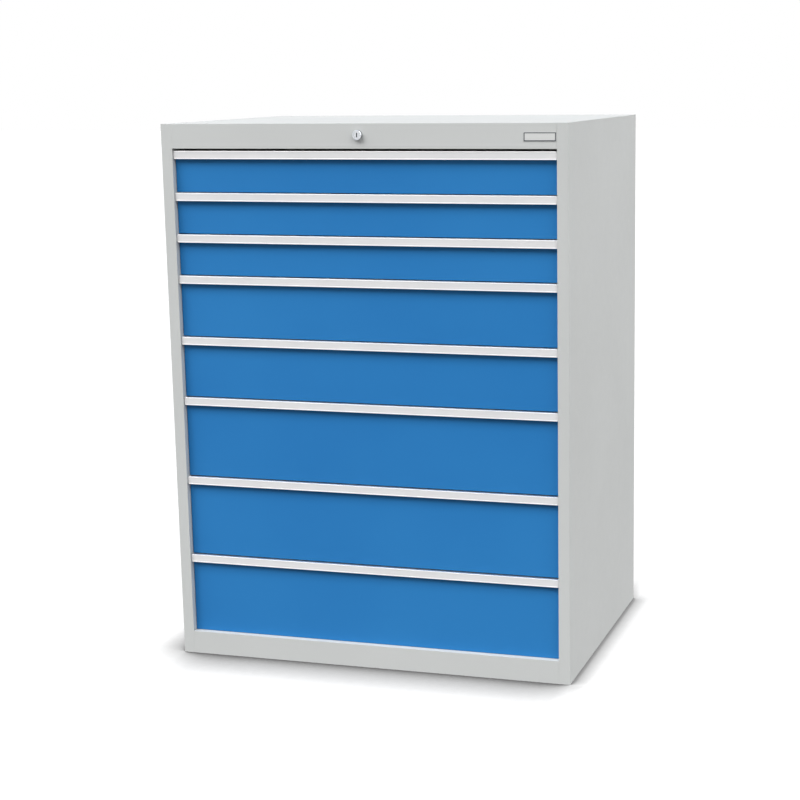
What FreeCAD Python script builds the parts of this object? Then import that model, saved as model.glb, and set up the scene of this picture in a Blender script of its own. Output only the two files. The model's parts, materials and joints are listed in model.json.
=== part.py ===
"""Free-standing steel drawer cabinet: eight full-width drawers on telescopic slides, and one lock.

Lengths are in millimetres. The origin lies on the floor under the middle of the cabinet.
X runs to the right, Y runs to the back and Z runs up. The frame's front face is the plane
Y = -cabinet_depth / 2, and a "depth" in this file is counted backwards from that plane.
"""
import FreeCAD, Part
import Sketcher
import os
import re

# ---------------------------------------------------------------- driving sizes
SIZES = {
    # carcass
    "opening_width": 950,         # clear width between the two stiles
    "stile_width": 27.5,          # front strip at each side of the opening
    "cabinet_depth": 736,
    "fascia_height": 58.5,        # strip above the opening
    "plinth_height": 57,          # strip below the opening
    "carcass_sheet": 1.5,         # sheet of the shell
    "reveal_margin": 5,           # how far the opening's edge turns inwards past the fronts' backs
    "reveal_lip": 12,             # stiffening lip at the end of that turn
    "rear_flange": 25,            # rim that the back panel is fixed to
    # drawer grid
    "small_pitch": 100,           # height taken by a small drawer
    "medium_pitch": 150,
    "large_pitch": 200,
    "head_gap": 5.5,              # fascia to the first grip
    "foot_gap": 1,                # last front to the plinth
    "front_gap": 2,               # each front to the grip below it
    "side_gap": 1.2,              # fronts and grips to the stiles
    # grip strip
    "grip_recess": 4,             # frame face to the lip
    "grip_height": 19,
    "grip_depth": 33,             # lip face to the back of the leg
    "grip_leg": 34,               # height of the leg that is riveted to the tray
    "grip_wall": 2.5,
    "label_rim": 2.2,             # bead above and below the label channel
    "label_channel": 0.9,         # depth of the label channel
    "label_thickness": 0.6,
    "end_cap": 2,
    # drawer front
    "panel_recess": 15,           # frame face to the coloured face
    "front_sheet": 1,
    "front_lip": 12,              # rim behind the front, against the tray
    # tray
    "tray_sheet": 1.2,
    "tray_head_gap": 8,           # top of the slot to the tray's rim
    "tray_foot_gap": 8,           # bottom of the slot to the tray's floor
    "tray_rim": 7,                # outward fold along the top of the sides
    # telescopic slide
    "slide_side_gap": 4,          # slide to the line of the stiles
    "slide_thickness": 19,        # tray side to upright
    "slide_height": 52,
    "slide_length": 600,
    "slide_metal": 2,
    "slide_lift": 8,              # tray floor to the slide's lower edge
    "slide_setback": 1,           # back of the front to the slide's end
    "slide_tail_gap": 3,          # slide's rear end to the back of the tray
    "web_space": 1.5,             # free space between nested webs
    "ball_track": 4,              # height of the raceway between two members
    "cage_length": 300,           # row of balls with its cage
    "running_gap": 0.3,
    "cut_margin": 1,              # how far a cutting block runs past the surface it opens
    # uprights that carry the slides
    "upright_width": 40,
    "upright_sheet": 2,
    "upright_inset": 20,          # end of the slide to the upright
    # lock
    "lock_rise": 32,              # top of the opening to the lock's axis
    "bezel_radius": 11.25,
    "bezel_height": 9,            # how far the lock stands proud of the fascia
    "bezel_bevel": 0.7,
    "barrel_radius": 9.5,
    "barrel_length": 24,          # behind the fascia's face
    "barrel_clearance": 0.15,     # barrel to the hole in the fascia
    "nut_radius": 13,
    "nut_thickness": 4,
    "plug_radius": 7,
    "plug_clearance": 0.08,
    "plug_sink": 0.6,             # bezel face to the plug's face
    "keyway_width": 2.6,
    "keyway_height": 10,
    "keyway_depth": 7,
    "lock_throw": 12,             # sideways travel of the lock bar
    "cam_rim": 3.5,               # pin centre to the edge of the cam
    "cam_thickness": 2.5,
    "pin_radius": 2,
    "pin_play": 0.5,              # pin to the sides of its slot
    "pin_overrun": 1.5,           # pin past the arm
    "bar_thickness": 2.5,
    "bar_width": 10,
    "bar_wall_gap": 1,            # bar to the side wall when unlocked
    "arm_height": 16,
    "arm_end": 5,                 # arm past the pin slot
    "hook_height": 10,
    "hook_tip_gap": 0.2,          # tip inside the stile's edge when unlocked
    "hook_slot_gap": 1,           # hook to its slot in the stile
    "hook_lift": 2,               # slide's upper edge to the hook
    "bar_overrun": 10,            # bar below the lowest hook
    "catch_play": 0.8,            # hook to the catch behind it
    "catch_side_gap": 5,          # catch to the stile
    "catch_foot": 20,             # foot of the catch along the tray
    # nameplate, bare
    "plate_width": 76,
    "plate_height": 20.6,
    "plate_thickness": 1,
    "plate_side_gap": 1.3,        # plate to the end of the fascia
    "plate_rise": 17,             # top of the opening to the plate
}

# drawers from the top down, each by the size that sets its height
PITCHES = ["small_pitch"] * 3 + ["medium_pitch"] * 2 + ["large_pitch"] * 3

# ---------------------------------------------------------------- places, as expressions of the sizes
HALF_OPENING = "(opening_width / 2)"
HALF_WIDTH = "(opening_width / 2 + stile_width)"
INNER_WALL = "(opening_width / 2 + stile_width - carcass_sheet)"
FRONT = "(-cabinet_depth / 2)"
BACK = "(cabinet_depth / 2)"
HALF_FRONT = "(opening_width / 2 - side_gap)"
HALF_TRAY = "(opening_width / 2 - slide_side_gap - slide_thickness)"
LEG_BACK = "(grip_recess + grip_depth)"
REVEAL_DEPTH = f"({LEG_BACK} + reveal_margin)"
LIP_FACE = f"({REVEAL_DEPTH} - carcass_sheet)"
BAR_BACK = f"({LIP_FACE} - running_gap)"
BAR_FRONT = f"({BAR_BACK} - bar_thickness)"
SLIDE_START = f"({LEG_BACK} + slide_setback)"
SLIDE_END = f"({SLIDE_START} + slide_length)"
TRAY_BACK = f"({SLIDE_END} + slide_tail_gap)"
BAR_LEFT = "(opening_width / 2 + stile_width - carcass_sheet - bar_wall_gap - bar_width)"


def depth(distance):
    """The Y of a point that lies this far behind the frame's front face."""
    return f"(-cabinet_depth / 2 + {distance})"


def slot_base(drawer):
    """The height where the slot of a drawer begins; drawers count from 0 at the top."""
    below = " + ".join(["0"] + PITCHES[drawer + 1:])
    return f"(plinth_height + foot_gap - front_gap + {below})"


def slot_top(drawer):
    """The height of the top of a drawer's grip."""
    return f"({slot_base(drawer)} + {PITCHES[drawer]})"


OPENING_TOP = f"({slot_top(0)} + head_gap)"
HEIGHT = f"({OPENING_TOP} + fascia_height)"
ROOF = f"({HEIGHT} - carcass_sheet)"
LOCK_AXIS = f"({OPENING_TOP} + lock_rise)"
ROOT_TWO = "1.41422"
PIN_OFFSET = "(lock_throw / 2)"
ARM_BOTTOM = f"({LOCK_AXIS} - {PIN_OFFSET} - arm_height / 2 - pin_radius / 2)"
ARM_TOP = f"({ARM_BOTTOM} + arm_height)"


def slide_bottom(drawer):
    return f"({slot_base(drawer)} + tray_foot_gap + slide_lift)"


def slide_middle(drawer):
    return f"({slide_bottom(drawer)} + slide_height / 2)"


def hook_bottom(drawer):
    return f"({slide_bottom(drawer)} + slide_height + hook_lift)"


# ---------------------------------------------------------------- document and helpers
doc = FreeCAD.newDocument("drawer_cabinet")
sheet = doc.addObject("Spreadsheet::Sheet", "Sizes")
for row, (alias, value) in enumerate(SIZES.items(), start=1):
    sheet.set(f"A{row}", str(value))
    sheet.setAlias(f"A{row}", alias)
doc.recompute()

sub_parts = []
SIDES = (("left", -1), ("right", 1))


def bound(expression):
    """Point each size's name in an expression at its cell."""
    return re.sub(r"[a-z_]+", lambda word: f"Sizes.{word.group()}", expression)


def box(name, x, y, z):
    """A block between two expressions along each axis."""
    block = doc.addObject("Part::Box", name)
    for size, axis, (low, high) in (("Length", "x", x), ("Width", "y", y), ("Height", "z", z)):
        block.setExpression(size, bound(f"({high}) - ({low})"))
        block.setExpression(f"Placement.Base.{axis}", bound(low))
    return block


def rod(name, radius, x, z, y):
    """A cylinder along Y, about the line at x and z, between two depths."""
    cylinder = doc.addObject("Part::Cylinder", name)
    cylinder.Placement = FreeCAD.Placement(FreeCAD.Vector(), FreeCAD.Rotation(FreeCAD.Vector(1, 0, 0), -90))
    cylinder.setExpression("Radius", bound(radius))
    cylinder.setExpression("Height", bound(f"({y[1]}) - ({y[0]})"))
    cylinder.setExpression("Placement.Base.x", bound(x))
    cylinder.setExpression("Placement.Base.y", bound(y[0]))
    cylinder.setExpression("Placement.Base.z", bound(z))
    return cylinder


def fuse(name, shapes):
    joined = doc.addObject("Part::MultiFuse", name)
    joined.Shapes = shapes
    joined.Refine = True
    return joined


def cut(name, base, tools):
    """The base without its tools."""
    remainder = doc.addObject("Part::Cut", name)
    remainder.Base = base
    remainder.Tool = tools[0] if len(tools) == 1 else fuse(f"{name}_tools", tools)
    remainder.Refine = True
    return remainder


def on_side(side, near, far):
    """The X span between two distances from the middle, on the right (1) or the left (-1)."""
    return (near, far) if side == 1 else (f"-{far}", f"-{near}")


def both_ways(distance):
    return (f"-{distance}", distance)


def sub_part(name, *solids):
    """Register a sub-part made of one solid, or of several that stay separate."""
    part = solids[0]
    if len(solids) > 1:
        part = doc.addObject("Part::Compound", name)
        part.Links = list(solids)
    part.Label = name
    sub_parts.append(part)


def evaluate(expression):
    """The present value of an expression."""
    return float(sheet.evalExpression(bound(expression)))


def profile(body, plane, points):
    """A closed outline on one of the body's own planes, each corner bound to its two expressions."""
    sketch = body.newObject("Sketcher::SketchObject", f"{body.Name}_outline")
    origin_plane = [feature for feature in body.Origin.OriginFeatures if feature.Role == plane][0]
    sketch.AttachmentSupport = [(origin_plane, "")]
    sketch.MapMode = "FlatFace"
    corners = [FreeCAD.Vector(evaluate(across), evaluate(up), 0) for across, up in points]
    for index, corner in enumerate(corners):
        sketch.addGeometry(Part.LineSegment(corner, corners[(index + 1) % len(corners)]), False)
    for index in range(len(points)):
        sketch.addConstraint(Sketcher.Constraint("Coincident", index, 2, (index + 1) % len(points), 1))
    for index, (across, up) in enumerate(points):
        for kind, expression in (("DistanceX", across), ("DistanceY", up)):
            value = evaluate(expression)
            number = sketch.addConstraint(Sketcher.Constraint(kind, -1, 1, index, 1, value))
            sketch.setExpression(f"Constraints[{number}]", bound(expression))
    return sketch


def extruded(name, plane, points, length, x, z):
    """A bar with the given outline, pushed out along the plane's normal."""
    body = doc.addObject("PartDesign::Body", name)
    sketch = profile(body, plane, points)
    pad = body.newObject("PartDesign::Pad", f"{name}_pad")
    pad.Profile = sketch
    pad.setExpression("Length", bound(length))
    body.setExpression("Placement.Base.x", bound(x))
    body.setExpression("Placement.Base.z", bound(z))
    return body


def turned(name, points, z):
    """A solid of revolution about the line along Y at the height z; the outline is radius and Y."""
    body = doc.addObject("PartDesign::Body", name)
    sketch = profile(body, "XY_Plane", points)
    revolution = body.newObject("PartDesign::Revolution", f"{name}_revolution")
    revolution.Profile = sketch
    revolution.ReferenceAxis = (sketch, ["V_Axis"])
    revolution.Angle = 360
    body.setExpression("Placement.Base.z", bound(z))
    return body


# ---------------------------------------------------------------- carcass
def side_panel(name, side):
    """Wall, front stile, inward turn of the opening's edge with its lip, and the rear and floor rims."""
    wall = box(f"{name}_wall", on_side(side, INNER_WALL, HALF_WIDTH), (FRONT, BACK), ("0", ROOF))
    stile_span = on_side(side, HALF_OPENING, HALF_WIDTH)
    stile = box(f"{name}_stile", stile_span, (FRONT, depth("carcass_sheet")), ("0", ROOF))
    foot_deep = (FRONT, f"({BACK} - carcass_sheet)")
    foot = box(f"{name}_foot", stile_span, foot_deep, ("0", "carcass_sheet"))
    turn_span = on_side(side, HALF_OPENING, f"({HALF_OPENING} + carcass_sheet)")
    turn = box(f"{name}_turn", turn_span, (FRONT, depth(REVEAL_DEPTH)), ("0", OPENING_TOP))
    lip_span = on_side(side, HALF_OPENING, f"({HALF_OPENING} + reveal_lip)")
    lip = box(f"{name}_lip", lip_span, (depth(LIP_FACE), depth(REVEAL_DEPTH)), ("0", OPENING_TOP))
    rim_span = on_side(side, f"({HALF_WIDTH} - rear_flange)", HALF_WIDTH)
    rim = box(f"{name}_rim", rim_span, (f"({BACK} - carcass_sheet)", BACK), ("0", ROOF))
    return fuse(f"{name}_folded", [wall, stile, foot, turn, lip, rim])


def hook_slot(drawer):
    """The slot in the right stile's turn that one hook of the lock bar slides through."""
    low = f"({hook_bottom(drawer)} - hook_slot_gap)"
    high = f"({hook_bottom(drawer)} + hook_height + hook_slot_gap)"
    through = (f"({HALF_OPENING} - carcass_sheet)", f"({HALF_OPENING} + 2 * carcass_sheet)")
    deep = (depth(f"({BAR_FRONT} - hook_slot_gap)"), depth(LIP_FACE))
    return box(f"hook_slot_{drawer + 1}", through, deep, (low, high))


sub_part("left_side_panel", side_panel("left_side", -1))
hook_slots = [hook_slot(drawer) for drawer in range(len(PITCHES))]
sub_part("right_side_panel", cut("right_side_slotted", side_panel("right_side", 1), hook_slots))

# roof sheet with the fascia folded down and its edge turned inwards, bored for the lock
roof = box("roof", both_ways(HALF_WIDTH), (FRONT, BACK), (ROOF, HEIGHT))
fascia = box("fascia", both_ways(HALF_OPENING), (FRONT, depth("carcass_sheet")), (OPENING_TOP, ROOF))
fascia_turn_height = (OPENING_TOP, f"({OPENING_TOP} + carcass_sheet)")
turn_deep = (FRONT, depth(REVEAL_DEPTH))
fascia_turn = box("fascia_turn", both_ways(HALF_OPENING), turn_deep, fascia_turn_height)
rim_across = both_ways(f"({HALF_WIDTH} - rear_flange)")
rim_deep = (f"({BACK} - carcass_sheet)", BACK)
roof_rim = box("roof_rim", rim_across, rim_deep, (f"({ROOF} - rear_flange)", ROOF))
lock_hole = rod("lock_hole", "(barrel_radius + barrel_clearance)", "0", LOCK_AXIS,
                (depth("(-carcass_sheet)"), depth("(2 * carcass_sheet)")))
top_folded = fuse("top_folded", [roof, fascia, fascia_turn, roof_rim])
sub_part("top_panel", cut("top_bored", top_folded, [lock_hole]))

# floor sheet with the plinth folded down in front and a skirt behind
plinth = box("plinth", both_ways(HALF_OPENING), (FRONT, depth("carcass_sheet")), ("0", "plinth_height"))
floor_height = ("(plinth_height - carcass_sheet)", "plinth_height")
ledge = box("ledge", both_ways(HALF_OPENING), turn_deep, floor_height)
floor_deep = (depth(REVEAL_DEPTH), f"({BACK} - carcass_sheet)")
floor = box("floor", both_ways(INNER_WALL), floor_deep, floor_height)
skirt = box("skirt", rim_across, rim_deep, ("0", "plinth_height"))
base_pieces = [plinth, ledge, floor, skirt]
# the floor runs on inside each stile, around the stile's lip
for side_name, side in SIDES:
    ear_span = on_side(side, f"({HALF_OPENING} + carcass_sheet)", INNER_WALL)
    ear_deep = (depth("carcass_sheet"), depth(LIP_FACE))
    base_pieces.append(box(f"{side_name}_floor_ear", ear_span, ear_deep, floor_height))
    neck_span = on_side(side, f"({HALF_OPENING} + reveal_lip)", INNER_WALL)
    neck_deep = (depth(LIP_FACE), depth(REVEAL_DEPTH))
    base_pieces.append(box(f"{side_name}_floor_neck", neck_span, neck_deep, floor_height))
sub_part("base_panel", fuse("base_folded", base_pieces))

back_sheet = (f"({BACK} - 2 * carcass_sheet)", f"({BACK} - carcass_sheet)")
sub_part("back_panel", box("back_sheet", both_ways(INNER_WALL), back_sheet, ("plinth_height", ROOF)))


def upright(name, side, front):
    """A channel standing against the side wall, open to the back."""
    near = f"({HALF_TRAY} + slide_thickness)"
    behind = f"({front} + upright_width)"
    outside = box(f"{name}_outside", on_side(side, near, INNER_WALL), (depth(front), depth(behind)),
                  ("plinth_height", ROOF))
    hollow_span = on_side(side, f"({near} + upright_sheet)", f"({INNER_WALL} - upright_sheet)")
    hollow_deep = (depth(f"({front} + upright_sheet)"), depth(f"({behind} + cut_margin)"))
    hollow_tall = ("(plinth_height - cut_margin)", f"({ROOF} + cut_margin)")
    hollow = box(f"{name}_hollow", hollow_span, hollow_deep, hollow_tall)
    return cut(name, outside, [hollow])


front_place = f"({REVEAL_DEPTH} + upright_inset)"
rear_place = f"({SLIDE_END} - upright_inset - upright_width)"
uprights = []
for side_name, side in SIDES:
    uprights.append(upright(f"{side_name}_front_upright", side, front_place))
    uprights.append(upright(f"{side_name}_rear_upright", side, rear_place))
sub_part("rack_uprights", *uprights)


# ---------------------------------------------------------------- telescopic slides
def channel(name, side, drawer, span, height, web_outside):
    """One slide member: a channel whose web is its outer or its inner wall."""
    near, far = span
    middle = slide_middle(drawer)
    long_way = (depth(SLIDE_START), depth(SLIDE_END))
    overlong = (depth(f"({SLIDE_START} - cut_margin)"), depth(f"({SLIDE_END} + cut_margin)"))
    outside_height = (f"({middle} - {height} / 2)", f"({middle} + {height} / 2)")
    hollow_height = (f"({middle} - {height} / 2 + slide_metal)", f"({middle} + {height} / 2 - slide_metal)")
    outside = box(f"{name}_outside", on_side(side, near, far), long_way, outside_height)
    if web_outside:
        hollow_span = on_side(side, f"({near} - cut_margin)", f"({far} - slide_metal)")
    else:
        hollow_span = on_side(side, f"({near} + slide_metal)", f"({far} + cut_margin)")
    hollow = box(f"{name}_hollow", hollow_span, overlong, hollow_height)
    return cut(name, outside, [hollow])


def from_tray(distance):
    """The X of a point this far outside the tray's side."""
    return f"({HALF_TRAY} + {distance})"


MIDDLE_HEIGHT = "(slide_height - 2 * slide_metal - 2 * ball_track)"
INNER_HEIGHT = f"({MIDDLE_HEIGHT} - 2 * slide_metal - 2 * ball_track)"
OUTER_SPAN = (from_tray("(slide_metal + 2 * web_space)"), from_tray("slide_thickness"))
MIDDLE_WEB = from_tray("(slide_thickness - slide_metal - web_space)")
MIDDLE_SPAN = (from_tray("(slide_metal + web_space)"), MIDDLE_WEB)
INNER_SPAN = (HALF_TRAY, from_tray("(slide_thickness - 2 * slide_metal - 2 * web_space)"))
CAGE_SPAN = (OUTER_SPAN[0], INNER_SPAN[1])


def ball_rows(name, side, drawer):
    """Four rows of balls in their cages: two inside the middle member's flanges and two outside."""
    middle = slide_middle(drawer)
    begin = f"({SLIDE_START} + slide_length / 2 - cage_length / 2)"
    long_way = (depth(begin), depth(f"({begin} + cage_length)"))
    inside = (f"({INNER_HEIGHT} / 2 + running_gap)", f"({MIDDLE_HEIGHT} / 2 - slide_metal)")
    outside = (f"({MIDDLE_HEIGHT} / 2)", "(slide_height / 2 - slide_metal - running_gap)")
    rows = []
    for row_name, (near, far) in (("inner", inside), ("outer", outside)):
        above = (f"({middle} + {near})", f"({middle} + {far})")
        below = (f"({middle} - {far})", f"({middle} - {near})")
        rows.append(box(f"{name}_{row_name}_row_above", on_side(side, *CAGE_SPAN), long_way, above))
        rows.append(box(f"{name}_{row_name}_row_below", on_side(side, *CAGE_SPAN), long_way, below))
    return rows


def catch(drawer):
    """The angle on the tray's right side that the lock bar's hook stands in front of."""
    front = f"({BAR_BACK} + catch_play)"
    tall = (hook_bottom(drawer), f"({hook_bottom(drawer)} + hook_height)")
    tab_deep = (depth(front), depth(f"({front} + bar_thickness)"))
    tab = box(f"catch_{drawer + 1}_tab", (HALF_TRAY, f"({HALF_OPENING} - catch_side_gap)"), tab_deep, tall)
    foot_deep = (depth(front), depth(f"({front} + catch_foot)"))
    foot = box(f"catch_{drawer + 1}_foot", (HALF_TRAY, from_tray("bar_thickness")), foot_deep, tall)
    return fuse(f"catch_{drawer + 1}", [tab, foot])


cabinet_rails = []
for drawer in range(len(PITCHES)):
    for side_name, side in SIDES:
        name = f"{side_name}_cabinet_rail_{drawer + 1}"
        cabinet_rails.append(channel(name, side, drawer, OUTER_SPAN, "slide_height", True))
sub_part("cabinet_rails", *cabinet_rails)


# ---------------------------------------------------------------- drawers
def tray(drawer):
    """Open steel box with its side walls folded outwards along the top."""
    name = f"tray_{drawer + 1}"
    bottom = f"({slot_base(drawer)} + tray_foot_gap)"
    top = f"({slot_top(drawer)} - tray_head_gap)"
    long_way = (depth(LEG_BACK), depth(TRAY_BACK))
    outside = box(f"{name}_outside", both_ways(HALF_TRAY), long_way, (bottom, top))
    rim_wide = both_ways(f"({HALF_TRAY} + tray_rim)")
    rim = box(f"{name}_rim", rim_wide, long_way, (f"({top} - tray_sheet)", top))
    hollow_deep = (depth(f"({LEG_BACK} + tray_sheet)"), depth(f"({TRAY_BACK} - tray_sheet)"))
    hollow = box(f"{name}_hollow", both_ways(f"({HALF_TRAY} - tray_sheet)"), hollow_deep,
                 (f"({bottom} + tray_sheet)", f"({top} + cut_margin)"))
    return cut(name, fuse(f"{name}_block", [outside, rim]), [hollow])


def front(drawer):
    """Coloured front: a shallow pan with a rim behind it, cut away for the leg of the grip."""
    name = f"front_{drawer + 1}"
    bottom = f"({slot_base(drawer)} + front_gap)"
    top = f"({slot_top(drawer)} - grip_height)"
    block_deep = (depth("panel_recess"), depth(LEG_BACK))
    block = box(f"{name}_block", both_ways(HALF_FRONT), block_deep, (bottom, top))
    inside = both_ways(f"({HALF_FRONT} - front_sheet)")
    hollow_deep = (depth("(panel_recess + front_sheet)"), depth(f"({LEG_BACK} - front_sheet)"))
    hollow_tall = (f"({bottom} + front_sheet)", f"({top} - front_sheet)")
    hollow = box(f"{name}_hollow", inside, hollow_deep, hollow_tall)
    window = box(f"{name}_window", both_ways(f"({HALF_FRONT} - front_lip)"),
                 (depth(f"({LEG_BACK} - 2 * front_sheet)"), depth(f"({LEG_BACK} + cut_margin)")),
                 (f"({bottom} + front_lip)", f"({top} - front_sheet)"))
    leg_deep = (depth(f"({LEG_BACK} - grip_wall)"), depth(f"({LEG_BACK} + cut_margin)"))
    leg_tall = (f"({slot_top(drawer)} - grip_leg - running_gap)", f"({top} + cut_margin)")
    leg_room = box(f"{name}_leg_room", inside, leg_deep, leg_tall)
    return cut(name, block, [hollow, window, leg_room])


def grip(drawer):
    """Extruded strip: a lip with a label channel, a web above the fingers, and a leg behind."""
    face = "(-cabinet_depth / 2 + grip_recess)"
    behind = f"({face} + grip_depth)"
    floor_of_channel = f"({face} + label_channel)"
    outline = [
        (face, "0"),
        (face, "-label_rim"),
        (floor_of_channel, "-label_rim"),
        (floor_of_channel, "(label_rim - grip_height)"),
        (face, "(label_rim - grip_height)"),
        (face, "-grip_height"),
        (f"({face} + grip_wall)", "-grip_height"),
        (f"({face} + grip_wall)", "-grip_wall"),
        (f"({behind} - grip_wall)", "-grip_wall"),
        (f"({behind} - grip_wall)", "-grip_leg"),
        (behind, "-grip_leg"),
        (behind, "0"),
    ]
    half_length = f"({HALF_FRONT} - end_cap)"
    return extruded(f"grip_{drawer + 1}", "YZ_Plane", outline, f"(2 * {half_length})", f"-{half_length}",
                    slot_top(drawer))


def grip_inserts(drawer):
    """The label strip in its channel and a cap on each end of the grip."""
    name = f"grip_{drawer + 1}"
    top = slot_top(drawer)
    label_back = "(grip_recess + label_channel)"
    label_deep = (depth(f"({label_back} - label_thickness)"), depth(label_back))
    label_tall = (f"({top} - grip_height + label_rim)", f"({top} - label_rim)")
    label = box(f"{name}_label", both_ways(f"({HALF_FRONT} - end_cap)"), label_deep, label_tall)
    caps = []
    for side_name, side in SIDES:
        cap_span = on_side(side, f"({HALF_FRONT} - end_cap)", HALF_FRONT)
        caps.append(box(f"{name}_{side_name}_cap", cap_span, (depth("grip_recess"), depth(LEG_BACK)),
                        (f"({top} - grip_height)", top)))
    return [label] + caps


for drawer in range(len(PITCHES)):
    number = drawer + 1
    sub_part(f"drawer_{number}_tray", tray(drawer))
    sub_part(f"drawer_{number}_front", front(drawer))
    sub_part(f"drawer_{number}_grip", grip(drawer))
    sub_part(f"drawer_{number}_grip_inserts", *grip_inserts(drawer))
    tray_rails = []
    middle_rails = []
    for side_name, side in SIDES:
        tray_rail_name = f"{side_name}_tray_rail_{number}"
        tray_rails.append(channel(tray_rail_name, side, drawer, INNER_SPAN, INNER_HEIGHT, False))
        middle_name = f"{side_name}_middle_rail_{number}"
        middle_rails.append(channel(middle_name, side, drawer, MIDDLE_SPAN, MIDDLE_HEIGHT, True))
        middle_rails.extend(ball_rows(middle_name, side, drawer))
    sub_part(f"drawer_{number}_rails", *tray_rails, catch(drawer))
    sub_part(f"drawer_{number}_mid_rails", *middle_rails)

# ---------------------------------------------------------------- lock
housing = turned("lock_housing", [
    ("(plug_radius + plug_clearance)", depth("(-bezel_height)")),
    ("(bezel_radius - bezel_bevel)", depth("(-bezel_height)")),
    ("bezel_radius", depth("(bezel_bevel - bezel_height)")),
    ("bezel_radius", FRONT),
    ("barrel_radius", FRONT),
    ("barrel_radius", depth("barrel_length")),
    ("(plug_radius + plug_clearance)", depth("barrel_length")),
], LOCK_AXIS)
nut_deep = (depth("carcass_sheet"), depth("(carcass_sheet + nut_thickness)"))
nut_outside = rod("nut_outside", "nut_radius", "0", LOCK_AXIS, nut_deep)
nut_hole_deep = (FRONT, depth("(carcass_sheet + nut_thickness + cut_margin)"))
nut_hole = rod("nut_hole", "barrel_radius", "0", LOCK_AXIS, nut_hole_deep)
sub_part("lock_cylinder", housing, cut("lock_nut", nut_outside, [nut_hole]))

CAM_FRONT = f"({BAR_FRONT} - cam_thickness - running_gap)"
CAM_RADIUS = f"({ROOT_TWO} * {PIN_OFFSET} + cam_rim)"
PLUG_FACE = depth("(plug_sink - bezel_height)")
plug = turned("lock_plug", [
    ("0", PLUG_FACE),
    ("plug_radius", PLUG_FACE),
    ("plug_radius", depth(CAM_FRONT)),
    (CAM_RADIUS, depth(CAM_FRONT)),
    (CAM_RADIUS, depth(f"({CAM_FRONT} + cam_thickness)")),
    ("0", depth(f"({CAM_FRONT} + cam_thickness)")),
], LOCK_AXIS)
pin = rod("cam_pin", "pin_radius", PIN_OFFSET, f"({LOCK_AXIS} - {PIN_OFFSET})",
          (depth(f"({CAM_FRONT} + cam_thickness / 2)"), depth(f"({BAR_BACK} + pin_overrun)")))
keyway_deep = (depth("(-bezel_height)"), depth("(keyway_depth - bezel_height)"))
keyway_tall = (f"({LOCK_AXIS} - keyway_height / 2)", f"({LOCK_AXIS} + keyway_height / 2)")
keyway = box("keyway", both_ways("(keyway_width / 2)"), keyway_deep, keyway_tall)
sub_part("lock_rotor", cut("lock_rotor_keyed", fuse("lock_rotor_body", [plug, pin]), [keyway]))

# flat arm behind the fascia; the cam's pin moves it through an upright slot
BAR_DEEP = (depth(BAR_FRONT), depth(BAR_BACK))
BAR_SPAN = (BAR_LEFT, f"({BAR_LEFT} + bar_width)")
arm_left = f"({PIN_OFFSET} - pin_radius - pin_play - arm_end)"
arm_blank = box("arm_blank", (arm_left, BAR_SPAN[1]), BAR_DEEP, (ARM_BOTTOM, ARM_TOP))
slot_span = (f"({PIN_OFFSET} - pin_radius - pin_play)", f"({PIN_OFFSET} + pin_radius + pin_play)")
slot_low = f"({LOCK_AXIS} - {ROOT_TWO} * {PIN_OFFSET} - pin_radius - pin_play)"
slot_high = f"({LOCK_AXIS} - {PIN_OFFSET} + pin_radius + pin_play)"
slot_deep = (depth(f"({BAR_FRONT} - cut_margin)"), depth(f"({BAR_BACK} + cut_margin)"))
pin_slot = box("pin_slot", slot_span, slot_deep, (slot_low, slot_high))
sub_part("lock_arm", cut("arm_slotted", arm_blank, [pin_slot]))

# upright bar inside the right stile, with one hook for each drawer
lowest_hook = hook_bottom(len(PITCHES) - 1)
bar_pieces = [box("upright_bar", BAR_SPAN, BAR_DEEP, (f"({lowest_hook} - bar_overrun)", ARM_BOTTOM))]
for drawer in range(len(PITCHES)):
    hook_tall = (hook_bottom(drawer), f"({hook_bottom(drawer)} + hook_height)")
    hook_span = (f"({HALF_OPENING} + hook_tip_gap)", BAR_LEFT)
    bar_pieces.append(box(f"hook_{drawer + 1}", hook_span, BAR_DEEP, hook_tall))
sub_part("lock_bar", *bar_pieces)

# ---------------------------------------------------------------- nameplate
plate_right = f"({HALF_OPENING} - plate_side_gap)"
plate_bottom = f"({OPENING_TOP} + plate_rise)"
plate_across = (f"({plate_right} - plate_width)", plate_right)
plate_tall = (plate_bottom, f"({plate_bottom} + plate_height)")
sub_part("nameplate", box("plate", plate_across, (depth("(-plate_thickness)"), FRONT), plate_tall))

# ---------------------------------------------------------------- checks and export
doc.recompute()
for feature in doc.Objects:
    if "Invalid" in feature.State or "Error" in feature.State:
        raise RuntimeError(f"{feature.Name} failed: {feature.State}")
for part in sub_parts:
    if part.Shape.isNull() or not part.Shape.isValid():
        raise RuntimeError(f"{part.Label} has no sound shape")
os.makedirs("parts", exist_ok=True)
for part in sub_parts:
    part.Shape.exportStep(f"parts/{part.Label}.step")
    print(f"{part.Label}: {len(part.Shape.Solids)} solids, {part.Shape.Volume / 1000:.1f} cm3")
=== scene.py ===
# %% [markdown]
# # A steel drawer cabinet
# This lesson dresses a finished engineering model: a free-standing steel cabinet with eight
# full-width drawers and one lock. The shapes, sizes and joints come from the CAD model, so nothing
# is measured again here. What is left is what the eye judges: paint, metal, edges, the little
# plate, and the light. Everything is in metres. The floor is Z = 0, the front faces -Y, and X runs
# to the right.

# %% Bring in the CAD model
import json
import math
import bmesh
import bpy
from mathutils import Matrix, Vector


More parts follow.
